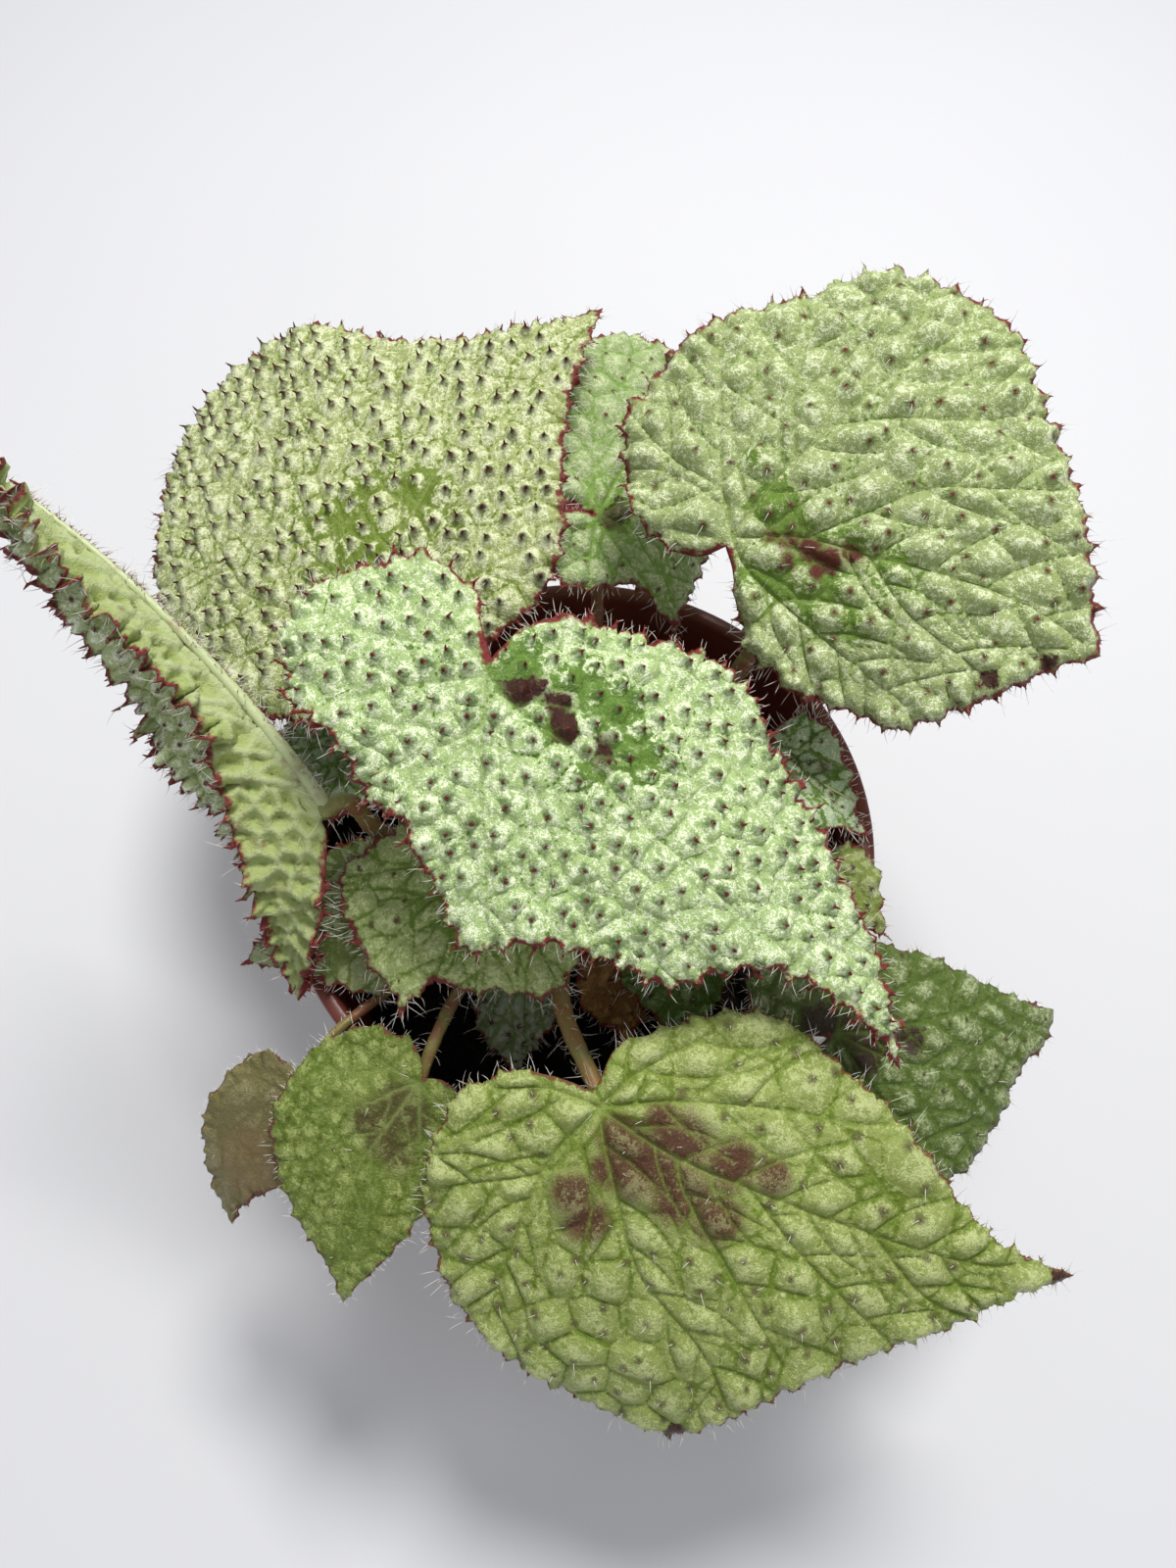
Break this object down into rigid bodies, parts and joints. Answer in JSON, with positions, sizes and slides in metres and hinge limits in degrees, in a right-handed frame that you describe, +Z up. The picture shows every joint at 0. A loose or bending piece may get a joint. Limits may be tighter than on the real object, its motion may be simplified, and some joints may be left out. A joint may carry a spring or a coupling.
{
  "type": "potted begonia",
  "caption": "Rosette begonia with bumpy silver-green leaves, toothed red edges and hairy stalks, growing in a round tapered reddish-brown nursery pot of soil.",
  "frame": {"origin": "middle of the underside of the pot, where it rests", "axes": "+Z up along the pot's axis, -Y towards the viewer of the picture, +X to the viewer's right"},
  "size_m": [0.2088, 0.2178, 0.1663],
  "materials": {
    "pot_plastic": "satin dark reddish-brown moulded plastic",
    "soil": "dry dark peat soil, matt",
    "rhizome": "brown scarred stem skin, matt",
    "stalk": "green to reddish-brown hairy stalk",
    "blade_centre": "semi-matt bumpy leaf skin, silvery green with dark dots and a red edge",
    "blade_front": "semi-matt bumpy leaf skin, silvery green with dark dots and a red edge",
    "blade_back_right": "semi-matt bumpy leaf skin, silvery green with dark dots and a red edge",
    "blade_back_left": "semi-matt bumpy leaf skin, silvery green with dark dots and a red edge",
    "blade_left_folded": "semi-matt bumpy leaf skin, silvery green with dark dots and a red edge",
    "blade_front_left": "semi-matt bumpy leaf skin, silvery green with dark dots and a red edge",
    "blade_old_left": "semi-matt bumpy leaf skin, silvery green with dark dots and a red edge",
    "blade_right": "semi-matt bumpy leaf skin, silvery green with dark dots and a red edge",
    "blade_back_middle": "semi-matt bumpy leaf skin, silvery green with dark dots and a red edge",
    "blade_under_left": "semi-matt bumpy leaf skin, silvery green with dark dots and a red edge",
    "blade_young_right": "semi-matt bumpy leaf skin, silvery green with dark dots and a red edge",
    "blade_small_right": "semi-matt bumpy leaf skin, silvery green with dark dots and a red edge",
    "blade_under_front": "semi-matt bumpy leaf skin, silvery green with dark dots and a red edge",
    "blade_old_brown": "semi-matt bumpy leaf skin, silvery green with dark dots and a red edge",
    "blade_shaded_front": "semi-matt bumpy leaf skin, silvery green with dark dots and a red edge",
    "blade_shaded_left": "semi-matt bumpy leaf skin, silvery green with dark dots and a red edge",
    "blade_low_left": "semi-matt bumpy leaf skin, silvery green with dark dots and a red edge"
  },
  "bodies": {
    "root": {"pot": "pot_plastic", "soil": "soil", "rhizome": "rhizome", "leaf_centre_blade": "blade_centre", "leaf_centre_stalk": "stalk", "leaf_front_blade": "blade_front", "leaf_front_stalk": "stalk", "leaf_back_right_blade": "blade_back_right", "leaf_back_right_stalk": "stalk", "leaf_back_left_blade": "blade_back_left", "leaf_back_left_stalk": "stalk", "leaf_left_folded_blade": "blade_left_folded", "leaf_left_folded_stalk": "stalk", "leaf_front_left_blade": "blade_front_left", "leaf_front_left_stalk": "stalk", "leaf_old_left_blade": "blade_old_left", "leaf_old_left_stalk": "stalk", "leaf_right_blade": "blade_right", "leaf_right_stalk": "stalk", "leaf_back_middle_blade": "blade_back_middle", "leaf_back_middle_stalk": "stalk", "leaf_under_left_blade": "blade_under_left", "leaf_under_left_stalk": "stalk", "leaf_young_right_blade": "blade_young_right", "leaf_young_right_stalk": "stalk", "leaf_small_right_blade": "blade_small_right", "leaf_small_right_stalk": "stalk", "leaf_under_front_blade": "blade_under_front", "leaf_under_front_stalk": "stalk", "leaf_old_brown_blade": "blade_old_brown", "leaf_old_brown_stalk": "stalk", "leaf_shaded_front_blade": "blade_shaded_front", "leaf_shaded_front_stalk": "stalk", "leaf_shaded_left_blade": "blade_shaded_left", "leaf_shaded_left_stalk": "stalk", "leaf_low_left_blade": "blade_low_left", "leaf_low_left_stalk": "stalk"}
  },
  "joints": []
}
